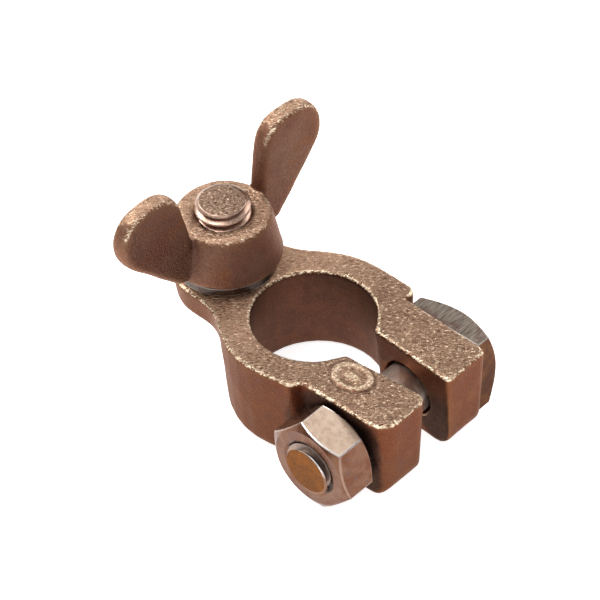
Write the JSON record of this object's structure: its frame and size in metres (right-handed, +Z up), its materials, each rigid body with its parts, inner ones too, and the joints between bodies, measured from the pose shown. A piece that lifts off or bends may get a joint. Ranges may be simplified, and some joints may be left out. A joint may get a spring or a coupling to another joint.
{
  "type": "ground clamp",
  "caption": "Cast split-ring clamp for a round post or rod, drawn shut by a square-head bolt, with a threaded stud and wing nut for an earth cable.",
  "frame": {"origin": "middle of the whole part in plan, on the plane of the clamp ring's flat underside", "axes": "+Z up along the post bore and the stud; +X from the terminal stud to the two clamping ears; +Y towards the clamp bolt's square head"},
  "size_m": [0.0476, 0.0372, 0.0358],
  "materials": {
    "cast_bronze_body": "as-cast bronze: rough sparkling top face, smoother red-brown sides, edges worn bright",
    "cut_bronze": "bright cut thread, with a rough cast end face",
    "plated_steel_washer": "dull plated steel",
    "cast_bronze_nut": "as-cast bronze, edges worn bright",
    "ground_steel": "brushed grey head top, brown-stained sides and shank",
    "plated_steel_nut": "worn plating, bright along the chamfers"
  },
  "bodies": {
    "clamp": {"clamp_body": "cast_bronze_body", "terminal_stud": "cut_bronze"},
    "washer": {"spring_washer": "plated_steel_washer"},
    "wing_nut": {"wing_nut": "cast_bronze_nut"},
    "bolt": {"clamp_bolt": "ground_steel"},
    "hex_nut": {"hex_nut": "plated_steel_nut"}
  },
  "joints": [
    {"name": "washer_lift", "type": "slide", "parent": "clamp", "child": "washer", "axis": [0, 0, 1], "range_m": [0, 0.00706]},
    {"name": "wing_nut_spin", "type": "hinge", "parent": "washer", "child": "wing_nut", "pos_m": [-0.0156, 0.00063, 0.0168], "axis": [0, 0, 1], "range_deg": [0, 1800]},
    {"name": "bolt_travel", "type": "slide", "parent": "clamp", "child": "bolt", "axis": [0, 1, 0], "range_m": [0, 0.00212]},
    {"name": "hex_nut_spin", "type": "hinge", "parent": "clamp", "child": "hex_nut", "pos_m": [0.0152, -0.01042, 0.00725], "axis": [0, -1, 0], "range_deg": [0, 540]}
  ],
  "couplings": [
    {"joint": "washer_lift", "follows": "wing_nut_spin", "m_per_rad": 0.00022459},
    {"joint": "bolt_travel", "follows": "hex_nut_spin", "m_per_rad": 0.00022459}
  ]
}
